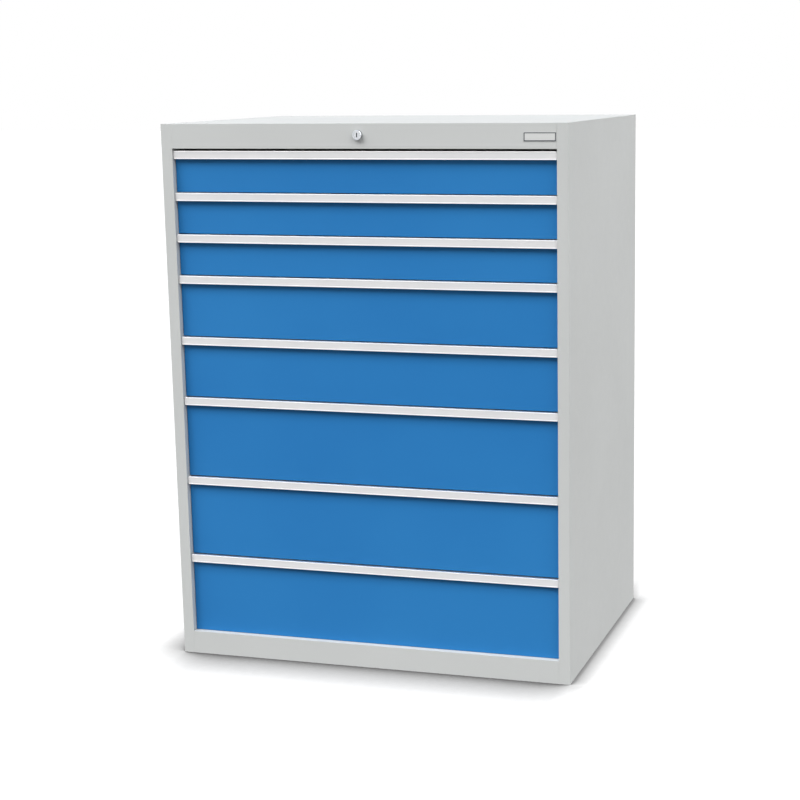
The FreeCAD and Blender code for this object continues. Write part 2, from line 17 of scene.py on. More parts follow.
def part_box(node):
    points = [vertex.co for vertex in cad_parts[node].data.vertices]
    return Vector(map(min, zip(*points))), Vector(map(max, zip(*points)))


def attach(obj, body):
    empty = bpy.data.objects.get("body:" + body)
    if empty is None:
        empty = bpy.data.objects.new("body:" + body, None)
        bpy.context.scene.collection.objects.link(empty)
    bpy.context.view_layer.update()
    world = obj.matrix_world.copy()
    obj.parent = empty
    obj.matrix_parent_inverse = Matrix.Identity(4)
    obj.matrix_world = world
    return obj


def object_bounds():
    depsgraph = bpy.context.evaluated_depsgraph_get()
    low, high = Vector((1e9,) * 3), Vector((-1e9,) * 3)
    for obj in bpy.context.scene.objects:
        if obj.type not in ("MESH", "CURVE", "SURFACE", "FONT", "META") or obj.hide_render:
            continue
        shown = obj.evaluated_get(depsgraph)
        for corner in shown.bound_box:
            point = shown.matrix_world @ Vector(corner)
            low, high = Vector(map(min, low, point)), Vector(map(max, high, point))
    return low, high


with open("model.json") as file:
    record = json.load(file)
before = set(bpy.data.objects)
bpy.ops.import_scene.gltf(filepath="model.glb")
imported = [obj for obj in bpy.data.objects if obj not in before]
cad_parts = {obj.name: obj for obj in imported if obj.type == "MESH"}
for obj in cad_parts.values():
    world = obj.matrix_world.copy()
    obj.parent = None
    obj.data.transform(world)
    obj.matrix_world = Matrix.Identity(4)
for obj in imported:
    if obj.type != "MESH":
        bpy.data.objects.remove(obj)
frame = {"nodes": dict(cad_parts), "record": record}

cad_box = [list(corner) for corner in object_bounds()]
nodes = frame["nodes"]
print("CAD box in metres:", [[round(value, 4) for value in corner] for corner in cad_box])

# %% [markdown]
# ## Which finish goes where
# The cabinet uses few finishes: powder coat in two greys and a blue, pale aluminium for the grips,
# pale plastic for their label strips, zinc on the slides, chrome on the lock and brushed metal for
# the plate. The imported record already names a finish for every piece, so the list is read from
# there. One table then drives every material, and no piece can be forgotten.

# %% Read each piece's finish from the record


def finish_table(record):
    """Each finish with the pieces that carry it."""
    table = {}
    for entry in record["subparts"]:
        table.setdefault(entry["material_slot"], []).append(entry["node"])
    return table


pieces_by_finish = finish_table(frame["record"])
for finish_name, members in pieces_by_finish.items():
    print(f"{finish_name}: {len(members)} pieces")

# %% [markdown]
# ## Colours as they are written
# A paint chip is given in sRGB, the numbers of a screen, but a shader works in linear light.
# Writing the chip as a hex code and converting it once keeps the recipe readable and the colour
# right.

# %% A helper for paint chips


def chip(code):
    """The linear colour of an sRGB hex code, with alpha."""
    channels = [int(code[start:start + 2], 16) / 255 for start in (0, 2, 4)]
    linear = [c / 12.92 if c <= 0.04045 else ((c + 0.055) / 1.055) ** 2.4 for c in channels]
    return (*linear, 1.0)


print("light grey chip, linear:", [round(c, 3) for c in chip("C7C9C8")])

# %% [markdown]
# ## Small helpers for node trees
# Wiring nodes one by one takes many lines: make a node, set what is fixed, link what varies. Each
# helper does that in one call and hands back the output socket, so that a finish reads like a
# recipe. The first ones do sums on values and vectors.

# %% Helpers that place and wire nodes


def set_or_link(tree, socket, value):
    """Link another socket to this one, or set a plain value on it."""
    if isinstance(value, bpy.types.NodeSocket):
        tree.links.new(value, socket)
    else:
        socket.default_value = value


def math_node(tree, operation, *values):
    """One sum on one or two values, each a socket or a number."""
    node = tree.nodes.new("ShaderNodeMath")
    node.operation = operation
    for socket, value in zip(node.inputs, values):
        set_or_link(tree, socket, value)
    return node.outputs["Value"]


def vector_node(tree, operation, *values):
    """One sum on one or two vectors. LENGTH gives a number, the others a vector."""
    node = tree.nodes.new("ShaderNodeVectorMath")
    node.operation = operation
    for socket, value in zip(node.inputs, values):
        set_or_link(tree, socket, value)
    return node.outputs["Value" if operation == "LENGTH" else "Vector"]


def axes(tree, vector):
    """The X, Y and Z of a vector."""
    node = tree.nodes.new("ShaderNodeSeparateXYZ")
    tree.links.new(vector, node.inputs["Vector"])
    return node.outputs["X"], node.outputs["Y"], node.outputs["Z"]


print("wiring helpers:", [tool.__name__ for tool in (set_or_link, math_node, vector_node, axes)])

# %% [markdown]
# ## Noise, and stretching it
# Almost every irregularity below begins as noise, scaled in features per metre so that its grain
# can be compared with the real one. Blender's noise mostly stays between 0.3 and 0.7, so that band
# is stretched over the values that are wanted. Mottled colours use a narrower band, which lets
# more of the surface reach either chip.

# %% Helpers for noise
noise_band = (0.3, 0.7)
mottle_band = (0.35, 0.65)


def noise_node(tree, vector, scale, detail=2.0, roughness=0.5):
    """Noise on a vector, scaled in features per metre."""
    node = tree.nodes.new("ShaderNodeTexNoise")
    node.inputs["Detail"].default_value = detail
    node.inputs["Roughness"].default_value = roughness
    tree.links.new(vector, node.inputs["Vector"])
    set_or_link(tree, node.inputs["Scale"], scale)
    return node.outputs["Fac"]


def spread(tree, value, low, high, to_low=0.0, to_high=1.0):
    """Stretch a band of values over another band, clamped at both ends."""
    node = tree.nodes.new("ShaderNodeMapRange")
    names = ("Value", "From Min", "From Max", "To Min", "To Max")
    for name, wanted in zip(names, (value, low, high, to_low, to_high)):
        set_or_link(tree, node.inputs[name], wanted)
    return node.outputs["Result"]


def noise_spread(tree, noise, to_low=0.0, to_high=1.0):
    """Stretch the band that noise mostly keeps to over another band."""
    return spread(tree, noise, *noise_band, to_low, to_high)


print("noise is stretched from:", noise_band, "mottle from:", mottle_band)

# %% [markdown]
# ## Node groups: effects that several finishes share
# An effect that several finishes need is made once, as a node group with named sockets, and each
# finish feeds in its own values. A group only puts out numbers and colours. The shader itself
# stays in the material.

# %% A helper that starts a node group


def new_group(name, inputs, outputs):
    """A shader node group with named sockets; an input is (name, kind, default).

    It gives back the group, what comes in by name, and what goes out by name.
    """
    group = bpy.data.node_groups.new(name, "ShaderNodeTree")
    for socket_name, kind, default in inputs:
        socket = group.interface.new_socket(
            socket_name, in_out="INPUT", socket_type=f"NodeSocket{kind}")
        if default is not None:
            socket.default_value = default
    for socket_name, kind in outputs:
        group.interface.new_socket(
            socket_name, in_out="OUTPUT", socket_type=f"NodeSocket{kind}")
    given = group.nodes.new("NodeGroupInput").outputs
    result = group.nodes.new("NodeGroupOutput").inputs
    return group, given, result


def group_outputs(group):
    """The names of what a group puts out."""
    return [item.name for item in group.interface.items_tree if item.in_out == "OUTPUT"]


print("groups so far:", len(bpy.data.node_groups))

# %% [markdown]
# ## The surface of powder coat
# Powder is baked on, so it never lies as flat as glass: it shows an orange-peel ripple a
# millimetre or two across, a finer grain on top of it, and a slow drift in shade over a whole
# sheet. Three paints on the cabinet need this.

# %% The powder coat's ripple, grain and drift


def build_powder_group():
    """Ripple and grain as a height, the drift as a mask, and a gloss that wanders."""
    group, given, result = new_group(
        "powder coat surface",
        [("Vector", "Vector", None), ("Ripple per Metre", "Float", 620.0),
         ("Grain per Metre", "Float", 2600.0), ("Grain Share", "Float", 0.35),
         ("Drift per Metre", "Float", 2.2), ("Gloss per Metre", "Float", 38.0),
         ("Roughness Low", "Float", 0.42), ("Roughness High", "Float", 0.52)],
        [("Height", "Float"), ("Drift", "Float"), ("Roughness", "Float")])
    vector = given["Vector"]
    ripple = noise_node(group, vector, given["Ripple per Metre"], detail=1.0)
    grain = noise_node(group, vector, given["Grain per Metre"], detail=2.0, roughness=0.6)
    fine = math_node(group, "MULTIPLY", grain, given["Grain Share"])
    group.links.new(math_node(group, "ADD", ripple, fine), result["Height"])
    drift = noise_node(group, vector, given["Drift per Metre"], detail=3.0)
    group.links.new(noise_spread(group, drift), result["Drift"])
    gloss = noise_node(group, vector, given["Gloss per Metre"], detail=4.0)
    rough = noise_spread(group, gloss, given["Roughness Low"], given["Roughness High"])
    group.links.new(rough, result["Roughness"])
    return group


powder_surface = build_powder_group()
print("group:", powder_surface.name, "puts out:", group_outputs(powder_surface))

# %% [markdown]
# ## The grain of drawn and brushed metal
# Sheet and bar that was drawn, rolled or brushed carries long scratches that all run one way. The
# trick is to squeeze the noise along one axis before sampling it: points far apart along the
# scratch then share a value. The same group serves the extruded grips, the plated slides and the
# small plate.

# %% The one-way grain


def build_drawn_group():
    """Long streaks along one axis, as a height, a mask and a roughness."""
    group, given, result = new_group(
        "drawn metal grain",
        [("Vector", "Vector", None), ("Stretch", "Vector", (6.0, 900.0, 900.0)),
         ("Roughness Low", "Float", 0.3), ("Roughness High", "Float", 0.42)],
        [("Height", "Float"), ("Streaks", "Float"), ("Roughness", "Float")])
    squeezed = vector_node(group, "MULTIPLY", given["Vector"], given["Stretch"])
    streaks = noise_node(group, squeezed, 1.0, detail=4.0, roughness=0.65)
    group.links.new(streaks, result["Height"])
    group.links.new(noise_spread(group, streaks), result["Streaks"])
    rough = noise_spread(group, streaks, given["Roughness Low"], given["Roughness High"])
    group.links.new(rough, result["Roughness"])
    return group


drawn_grain = build_drawn_group()
print("group:", drawn_grain.name, "puts out:", group_outputs(drawn_grain))

# %% [markdown]
# ## Marks from handling
# Hands and cloths leave faint patches, and dust settles where a surface faces up. On a new cabinet
# both are barely there, yet without them large sheets look like plastic film. The group gives two
# masks, and every finish decides how far it lets them show.

# %% Faint wiping marks and settled dust
specks_per_metre, patches_per_metre = 140.0, 7.0


def build_handling_group():
    """A mask of dust on what faces up, and a mask of wiped patches."""
    group, given, result = new_group(
        "handling marks",
        [("Vector", "Vector", None), ("Dust Amount", "Float", 0.15),
         ("Wipe Amount", "Float", 0.3)],
        [("Dust", "Float"), ("Wiped", "Float")])
    vector = given["Vector"]
    geometry = group.nodes.new("ShaderNodeNewGeometry")
    upward = spread(group, axes(group, geometry.outputs["Normal"])[2], 0.6, 1.0)
    specks = noise_node(group, vector, specks_per_metre, detail=6.0, roughness=0.7)
    dust = math_node(group, "MULTIPLY", upward, spread(group, specks, 0.45, 0.75))
    group.links.new(math_node(group, "MULTIPLY", dust, given["Dust Amount"]), result["Dust"])
    patches = noise_node(group, vector, patches_per_metre, detail=3.0, roughness=0.55)
    wiped = math_node(group, "MULTIPLY", spread(group, patches, 0.52, 0.72), given["Wipe Amount"])
    group.links.new(wiped, result["Wiped"])
    return group


handling_marks = build_handling_group()
print("group:", handling_marks.name, "puts out:", group_outputs(handling_marks))

# %% [markdown]
# ## One recipe for starting a material
# Every finish begins the same way: a Principled shader, the output, and Object coordinates, which
# on these pieces are metres in the cabinet's own space. Grain then keeps its real size on a small
# grip and on a tall side panel alike, and it travels with a drawer when the drawer opens.

# %% A helper that starts a finish


class Finish:
    """A material under construction: its tree, its shader and its coordinates."""

    def __init__(self, name):
        self.material = bpy.data.materials.new(name)
        self.material.use_nodes = True
        self.tree = self.material.node_tree
        self.tree.nodes.clear()
        self.shader = self.tree.nodes.new("ShaderNodeBsdfPrincipled")
        self.output = self.tree.nodes.new("ShaderNodeOutputMaterial")
        self.tree.links.new(self.shader.outputs["BSDF"], self.output.inputs["Surface"])
        coordinates = self.tree.nodes.new("ShaderNodeTexCoord")
        self.place, self.facing = coordinates.outputs["Object"], coordinates.outputs["Normal"]

    def group(self, tree, **values):
        """Place a node group, fed with the coordinates and with this finish's own values."""
        node = self.tree.nodes.new("ShaderNodeGroup")
        node.node_tree = tree
        self.tree.links.new(self.place, node.inputs["Vector"])
        for name, value in values.items():
            node.inputs[name.replace("_", " ")].default_value = value
        return node

    def blend(self, mask, first, second):
        """A colour between two chips or sockets, by a mask."""
        node = self.tree.nodes.new("ShaderNodeMix")
        node.data_type = "RGBA"
        for name, value in (("Factor", mask), ("A", first), ("B", second)):
            set_or_link(self.tree, node.inputs[name], value)
        return node.outputs["Result"]

    def relief(self, height, strength, depth):
        """Turn a height into a bump of that depth in metres."""
        node = self.tree.nodes.new("ShaderNodeBump")
        node.inputs["Strength"].default_value = strength
        node.inputs["Distance"].default_value = depth
        self.tree.links.new(height, node.inputs["Height"])
        self.tree.links.new(node.outputs["Normal"], self.shader.inputs["Normal"])

    def feed(self, **sockets):
        """Link sockets to the shader's inputs, or set constants on them."""
        for name, value in sockets.items():
            set_or_link(self.tree, self.shader.inputs[name.replace("_", " ")], value)


finishes = {}
print("finishes to mix:", sorted(pieces_by_finish))

# %% [markdown]
# ## Light grey powder coat: the carcass
# The shell is folded sheet steel with a baked powder coat in a light, almost neutral grey. The
# shade drifts by a hair between two chips, the gloss wanders a little, and the orange peel is a
# bump of about a tenth of a millimetre. Anything stronger would look like stone from across a
# room. The specular level is low, because a white room lays a pale veil on a wide panel that is
# seen at a slant.

# %% Mix powder coat, and paint the carcass with it
orange_peel_depth = 0.00012
wiping_dulls = 0.12


def powder_coat(name, chips, ripple, gloss, specular, dust_chip="D9D8D4"):
    """Powder-coated sheet: two close chips, orange peel, faint wiping marks and dust."""
    finish = Finish(name)
    surface = finish.group(powder_surface, Ripple_per_Metre=ripple,
                           Roughness_Low=gloss[0], Roughness_High=gloss[1])
    marks = finish.group(handling_marks, Dust_Amount=0.10, Wipe_Amount=0.35)
    paint = finish.blend(surface.outputs["Drift"], chip(chips[0]), chip(chips[1]))
    dusty = finish.blend(marks.outputs["Dust"], paint, chip(dust_chip))
    duller = math_node(finish.tree, "MULTIPLY", marks.outputs["Wiped"], wiping_dulls)
    roughness = math_node(finish.tree, "ADD", surface.outputs["Roughness"], duller)
    finish.feed(Base_Color=dusty, Roughness=roughness, Specular_IOR_Level=specular)
    finish.relief(surface.outputs["Height"], strength=0.35, depth=orange_peel_depth)
    return finish.material


finishes["carcass_paint"] = powder_coat(
    "carcass_light_grey_powder", chips=("C5C7C6", "C9CBCA"), ripple=560.0,
    gloss=(0.44, 0.54), specular=0.08)
print("carcass finish:", finishes["carcass_paint"].name)

# %% [markdown]
# ## Blue powder coat: the drawer fronts
# The fronts wear the same kind of powder in a clear mid blue. A dark, saturated colour shows its
# gloss far more than a pale one, so the roughness is a little higher: otherwise a white room would
# wash the blue out. Dust on it is tinted blue-grey. The trays behind the fronts are a plainer grey
# with a coarser ripple.

# %% The blue fronts and the grey trays
finishes["front_paint"] = powder_coat(
    "front_mid_blue_powder", chips=("2373B4", "297ABA"), ripple=600.0,
    gloss=(0.46, 0.56), specular=0.22, dust_chip="6E97C0")
finishes["tray_paint"] = powder_coat(
    "tray_light_grey_powder", chips=("BEC0C0", "C3C5C5"), ripple=520.0,
    gloss=(0.5, 0.6), specular=0.35)
print("front finish:", finishes["front_paint"].name, "tray finish:", finishes["tray_paint"].name)

# %% [markdown]
# ## Pale aluminium: the grip strips
# Each grip is one extruded bar across the whole drawer, matt anodised. Extrusion leaves fine lines
# along the bar, so the grain is squeezed along X. Bare metal has no colour of its own beyond its
# reflection, which is why Metallic is 1 and the chip is pale. A long mirror-like ledge in a white
# room throws a bright band on the paint above it, which matt anodising hardly does. Light Path's
# Is Diffuse Ray tells when the paint asks the grip for light, and the grip then answers with a
# darker metal.

# %% The extruded grips
held_back_share = 0.85


def extruded_aluminium():
    """Matt anodised extrusion with lines along the bar."""
    finish = Finish("grip_matt_aluminium")
    grain = finish.group(drawn_grain, Stretch=(5.0, 1500.0, 1500.0),
                         Roughness_Low=0.34, Roughness_High=0.44)
    marks = finish.group(handling_marks, Dust_Amount=0.08, Wipe_Amount=0.4)
    metal = finish.blend(grain.outputs["Streaks"], chip("F5F5F6"), chip("FAFAFB"))
    touched = finish.blend(marks.outputs["Wiped"], metal, chip("F1F2F3"))
    asked_by_paint = finish.tree.nodes.new("ShaderNodeLightPath").outputs["Is Diffuse Ray"]
    held_back = math_node(finish.tree, "MULTIPLY", asked_by_paint, held_back_share)
    finish.feed(Base_Color=finish.blend(held_back, touched, chip("303030")),
                Roughness=grain.outputs["Roughness"], Metallic=1.0)
    finish.relief(grain.outputs["Height"], strength=0.2, depth=0.00005)
    return finish.material


finishes["grip_aluminium"] = extruded_aluminium()
print("grip finish:", finishes["grip_aluminium"].name)

# %% [markdown]
# ## Label strips and end caps
# A thin strip slides into the channel of each grip and carries no print here; a moulded cap closes
# each end. Both are pale plastic. Moulded plastic has a fine even sparkle and a soft gloss, so a
# small noise drives both the bump and the roughness, and a faint second chip keeps the long strip
# from looking flat.

# %% The pale plastic
sparkles_per_metre, shades_per_metre = 2400.0, 11.0


def pale_plastic():
    """Matt sheet and moulded plastic, almost white."""
    finish = Finish("label_pale_plastic")
    fine = noise_node(finish.tree, finish.place, sparkles_per_metre, detail=2.0)
    broad = noise_node(finish.tree, finish.place, shades_per_metre, detail=3.0)
    mottle = spread(finish.tree, broad, *mottle_band)
    sheet = finish.blend(mottle, chip("DBDBDC"), chip("DFDFE0"))
    finish.feed(Base_Color=sheet, Roughness=noise_spread(finish.tree, fine, 0.42, 0.55),
                Specular_IOR_Level=0.35)
    finish.relief(fine, strength=0.15, depth=0.00004)
    return finish.material


finishes["label_plastic"] = pale_plastic()
print("label finish:", finishes["label_plastic"].name)

# %% [markdown]
# ## Zinc: slides, lock bar and catches
# Rolled steel with bright zinc on it shows two things at once: lines from rolling along its
# length, and soft patches where the zinc crystals face different ways. The patches come from
# Voronoi cells, which have flat values inside and clear borders, blended lightly over the rolled
# grain.

# %% The zinc-plated steel
crystals_per_metre = 260.0


def zinc_plate():
    """Bright zinc plating over rolled strip."""
    finish = Finish("slide_zinc_steel")
    grain = finish.group(drawn_grain, Stretch=(700.0, 8.0, 700.0),
                         Roughness_Low=0.3, Roughness_High=0.46)
    cells = finish.tree.nodes.new("ShaderNodeTexVoronoi")
    cells.inputs["Scale"].default_value = crystals_per_metre
    finish.tree.links.new(finish.place, cells.inputs["Vector"])
    facets = finish.tree.nodes.new("ShaderNodeSeparateColor")
    finish.tree.links.new(cells.outputs["Color"], facets.inputs["Color"])
    rolled = finish.blend(grain.outputs["Streaks"], chip("A5A8AC"), chip("B4B6B9"))
    patch = spread(finish.tree, facets.outputs["Red"], 0.0, 1.0, 0.0, 0.45)
    finish.feed(Base_Color=finish.blend(patch, rolled, chip("C0C3C8")),
                Roughness=grain.outputs["Roughness"], Metallic=1.0)
    finish.relief(grain.outputs["Height"], strength=0.2, depth=0.00004)
    return finish.material


finishes["zinc_steel"] = zinc_plate()
print("slide finish:", finishes["zinc_steel"].name)

# %% [markdown]
# ## Satin chrome: the lock
# The lock's face is turned on a lathe before plating, which leaves rings around its axis. Rings
# are easy to make without a texture: take the distance from the axis, multiply it, and take the
# sine. The CAD box of the lock gives the axis, so the rings stay centred if the lock ever moves.
# The collar's side and the walls of the keyway carry painted shade: the normal's Y, near 0 on
# every such wall, mixes in a second, darker pair of chips there, in place of the dark that these
# walls reflect.

# %% The turned and plated lock
lock_low, lock_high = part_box("lock_cylinder")
lock_axis = (lock_low + lock_high) / 2
ring_phase_per_metre = 16000.0
clouds_per_metre = 300.0


def turned_chrome():
    """Plated metal with fine lathe rings around the lock's axis, and painted shade on its side
    walls.
    """
    finish = Finish("lock_satin_chrome")
    tree = finish.tree
    centred = vector_node(tree, "SUBTRACT", finish.place, (lock_axis.x, 0.0, lock_axis.z))
    off_axis = vector_node(tree, "MULTIPLY", centred, (1.0, 0.0, 1.0))
    phase = math_node(tree, "MULTIPLY", vector_node(tree, "LENGTH", off_axis),
                      ring_phase_per_metre)
    cloudy = noise_node(tree, finish.place, clouds_per_metre, detail=3.0)
    mottle = spread(tree, cloudy, *mottle_band)
    polished = finish.blend(mottle, chip("D3D6DA"), chip("DEE1E5"))
    # Painted shade: darker chips for the collar's side and the keyway's walls.
    painted_wall_shade = finish.blend(mottle, chip("9A9EA2"), chip("A4A8AC"))
    frontness = math_node(tree, "ABSOLUTE", axes(tree, finish.facing)[1])
    wall_shade_mask = spread(tree, frontness, 0.2, 0.6, 1.0, 0.0)
    finish.feed(Base_Color=finish.blend(wall_shade_mask, polished, painted_wall_shade),
                Roughness=noise_spread(tree, cloudy, 0.16, 0.26), Metallic=1.0)
    finish.relief(math_node(tree, "SINE", phase), strength=0.12, depth=0.00003)
    return finish.material


finishes["lock_chrome"] = turned_chrome()
print("lock axis at x, z:", round(lock_axis.x, 4), round(lock_axis.z, 4))
print("ring spacing in millimetres:", round(1000 * 2 * math.pi / ring_phase_per_metre, 2))

# %% [markdown]
# ## The small plate
# A little metal plate sits at the right end of the top strip. It is left bare. Its brushed face
# runs along X like the grips, only finer, and a dark printed line runs around its rim. The line is
# its own thin piece, so that it has a real edge and casts its own fine shadow.

# %% The plate's brushed metal and its dark line
speckles_per_metre = 1800.0


def brushed_plate():
    """Fine brushed metal, brushed along the plate."""
    finish = Finish("plate_brushed_metal")
    grain = finish.group(drawn_grain, Stretch=(40.0, 3000.0, 3000.0),
                         Roughness_Low=0.3, Roughness_High=0.42)
    face = finish.blend(grain.outputs["Streaks"], chip("C6C7C6"), chip("D4D5D4"))
    finish.feed(Base_Color=face, Roughness=grain.outputs["Roughness"], Metallic=0.85)
    finish.relief(grain.outputs["Height"], strength=0.2, depth=0.00003)
    return finish.material


def plate_line():
    """The dark enamel line around the plate."""
    finish = Finish("plate_dark_line")
    speckle = noise_node(finish.tree, finish.place, speckles_per_metre, detail=3.0)
    mottle = spread(finish.tree, speckle, *mottle_band)
    finish.feed(Base_Color=finish.blend(mottle, chip("43474D"), chip("52565C")),
                Roughness=noise_spread(finish.tree, speckle, 0.3, 0.42))
    finish.relief(speckle, strength=0.1, depth=0.00003)
    return finish.material


finishes["plate_metal"] = brushed_plate()
dark_line = plate_line()
print("plate finishes:", finishes["plate_metal"].name, dark_line.name)

# %% [markdown]
# ## Put the finishes on
# Each imported piece keeps its mesh. Only its material slots change, all of them to the finish
# that the record names, so a piece with several slots can't show a leftover.

# %% Paint every piece of the CAD model
painted = 0
for finish_name, members in pieces_by_finish.items():
    for member in members:
        slots = nodes[member].material_slots
        if not slots:
            nodes[member].data.materials.append(finishes[finish_name])
        for slot in slots:
            slot.material = finishes[finish_name]
        painted += 1
print("pieces painted:", painted)

# %% [markdown]
# ## Break the edges
# No sheet is folded to a knife edge. The bend of a press brake has a radius, and that small curve
# is what catches the light along the stiles and the top strip. A Bevel modifier rounds every fold
# without touching the mesh. Imported faces don't share their corners, so a Weld modifier joins
# them first, and a Weighted Normal modifier keeps the wide faces flat. The grips and the label
# strips are thin, so they take a smaller radius than the painted sheet.

# %% Round the folds with modifiers
fold_radius = {
    "carcass_paint": 0.00045, "front_paint": 0.00045, "tray_paint": 0.00055,
    "grip_aluminium": 0.00025, "label_plastic": 0.00025, "zinc_steel": 0.00045,
    "plate_metal": 0.00030,
}
weld_distance = 0.00001
fold_angle = math.radians(40)


def break_edges(piece, radius, rounds=2):
    """Weld, bevel and even out the shading of one piece, all as modifiers."""
    weld = piece.modifiers.new("join corners", "WELD")
    weld.merge_threshold = weld_distance
    bevel = piece.modifiers.new("folded edge", "BEVEL")
    bevel.width = radius
    bevel.segments = rounds
    bevel.limit_method = "ANGLE"
    bevel.angle_limit = fold_angle
    bevel.use_clamp_overlap = True
    even = piece.modifiers.new("flat faces", "WEIGHTED_NORMAL")
    even.weight = 100
    even.keep_sharp = False


rounded = 0
for finish_name, radius in fold_radius.items():
    for member in pieces_by_finish[finish_name]:
        break_edges(nodes[member], radius)
        rounded += 1
print("pieces with rounded folds:", rounded)

# %% [markdown]
# ## Helpers for small pieces
# Two pieces are too thin and too small for the CAD model: the line around the plate and the dark
# plate that paints the shade in the keyway. Both start from a rectangle with rounded corners,
# drawn point by point, and are skinned from loops of such points. Each corner is an arc of a few
# points, which is enough at this size.

# %% Helpers that build a mesh from loops


def rounded_rectangle(width, height, radius, per_corner=6):
    """Points around a rectangle with rounded corners, centred on the origin."""
    points = []
    for quarter, (side, up) in enumerate(((1, 1), (-1, 1), (-1, -1), (1, -1))):
        centre = Vector((side * (width / 2 - radius), up * (height / 2 - radius)))
        for step in range(per_corner + 1):
            turn = math.radians(90 * quarter + 90 * step / per_corner)
            points.append(centre + radius * Vector((math.cos(turn), math.sin(turn))))
    return points


def lay_loop(mesh, outline, middle, y, scale=1.0):
    """The corners of an outline, stood upright in the plane at y."""
    return [mesh.verts.new((middle.x + point.x * scale, y, middle.z + point.y * scale))
            for point in outline]


def skin(mesh, near, far):
    """A band of faces between two loops with the same number of corners."""
    for index in range(len(near)):
        following = (index + 1) % len(near)
        mesh.faces.new((near[index], near[following], far[following], far[index]))


def make_object(name, mesh, material):
    """Turn a mesh under construction into an object with one finish."""
    data = bpy.data.meshes.new(name)
    mesh.to_mesh(data)
    mesh.free()
    data.materials.append(material)
    piece = bpy.data.objects.new(name, data)
    bpy.context.scene.collection.objects.link(piece)
    return piece


print("points around a rounded rectangle:", len(rounded_rectangle(0.02, 0.01, 0.001)))

# %% [markdown]
# ## The line around the plate
# The line is a flat ring with rounded corners: one rounded rectangle outside, one inside, walls
# between them and a small step up from the plate. Its foot is sunk a little into the plate, so
# that no gap shows under it.

# %% Build the ring on the plate
plate_low, plate_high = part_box("nameplate")
foot_depth = 0.00005


def plate_ring(inset, line_width, rise, outer_radius, inner_radius):
    """The dark ring: set in from the plate's edge, and standing a little proud of it."""
    width = plate_high.x - plate_low.x - 2 * inset
    height = plate_high.z - plate_low.z - 2 * inset
    middle = (plate_low + plate_high) / 2
    outer = rounded_rectangle(width, height, outer_radius)
    inner = rounded_rectangle(width - 2 * line_width, height - 2 * line_width, inner_radius)
    mesh = bmesh.new()
    path = ((outer, foot_depth), (outer, -rise), (inner, -rise), (inner, foot_depth))
    loops = [lay_loop(mesh, outline, middle, plate_low.y + level) for outline, level in path]
    for near, far in zip(loops, loops[1:] + loops[:1]):
        skin(mesh, near, far)
    bmesh.ops.recalc_face_normals(mesh, faces=mesh.faces)
    return make_object("nameplate_line", mesh, dark_line)


plate_line_ring = plate_ring(inset=0.0004, line_width=0.0022, rise=0.00018,
                             outer_radius=0.0012, inner_radius=0.0005)
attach(plate_line_ring, "cabinet")
print("plate in millimetres:", [round(1000 * side, 1) for side in plate_high - plate_low])

# %% [markdown]
# ## A dark plate for the shade in the keyway
# Seen from the front, a deep narrow slot reads black in its own shade, but the keyway's chrome
# floor would reflect the white room. A near-black plate just behind its mouth paints that shade.
# It is a thin plate with rounded ends and a shallow dimple, half a millimetre behind the plug's
# face, and it turns with the plug. A little play keeps it clear of the keyway's walls.

# %% Build the dark plate that paints the keyway's shade
keyway_width, keyway_height = 0.0026, 0.010
shade_plate_depth, shade_plate_play = 0.0005, 0.0001
plug_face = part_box("lock_rotor")[0].y
shade_plate_steps = ((1.0, 0.0008), (1.0, 0.0), (0.7, 0.0), (0.4, 0.00015))


def keyway_shade_steel():
    """Near-black steel as painted shade for the keyway, with fine scratches."""
    finish = Finish("lock_keyway_painted_shade")
    scratches = finish.group(drawn_grain, Stretch=(900.0, 900.0, 60.0),
                             Roughness_Low=0.45, Roughness_High=0.6)
    # Painted shade: near-black chips stand in for the shade deep in the narrow keyway.
    painted_shade_tone = finish.blend(scratches.outputs["Streaks"], chip("15181B"), chip("24282C"))
    finish.feed(Base_Color=painted_shade_tone, Roughness=scratches.outputs["Roughness"],
                Specular_IOR_Level=0.2)
    finish.relief(scratches.outputs["Height"], strength=0.2, depth=0.00002)
    return finish.material


def keyway_shade_plate():
    """The dark plate that paints the keyway's shade, dimpled in the middle. A step is a scale and
    a depth behind its face.
    """
    outline = rounded_rectangle(keyway_width - shade_plate_play, keyway_height - shade_plate_play,
                                radius=0.0004, per_corner=4)
    mesh = bmesh.new()
    loops = [lay_loop(mesh, outline, lock_axis, plug_face + shade_plate_depth + depth, scale)
             for scale, depth in shade_plate_steps]
    for near, far in zip(loops, loops[1:]):
        skin(mesh, near, far)
    mesh.faces.new(loops[0])
    mesh.faces.new(loops[-1])
    bmesh.ops.recalc_face_normals(mesh, faces=mesh.faces)
    return make_object("keyway_shade_plate", mesh, keyway_shade_steel())


shade_plate = keyway_shade_plate()
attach(shade_plate, "lock_rotor")
print("shutter behind the plug's face by:", shade_plate_depth)

# %% [markdown]
# ## The floor's shadow
# The floor is a plain pale plane, and the cabinet has to look as if it stands on it. The lamps are
# too wide to leave a crisp shadow, so ambient occlusion deepens the contact: it tells how much of
# the space above a point of the floor is taken up within a given reach, and a ramp turns that into
# a grey. The reach is longest in front, shorter at the left end and short beside the right-hand
# panel, where the fill lamp lights the floor. A mask fades from one to the other round the corner.

# %% Shade the floor near the cabinet
half_width = (cad_box[1][0] - cad_box[0][0]) / 2
front_plane, back_plane = cad_box[0][1], cad_box[1][1]
front_reach, left_reach, side_reach = 0.19, 0.11, 0.05
side_lift = 0.2
floor_grain_per_metre = 40.0
contact_greys = ((0.50, 0.14), (0.567, 0.18), (0.64, 0.42), (0.71, 0.54), (0.80, 0.64),
                 (0.887, 0.78), (1.0, 1.0))


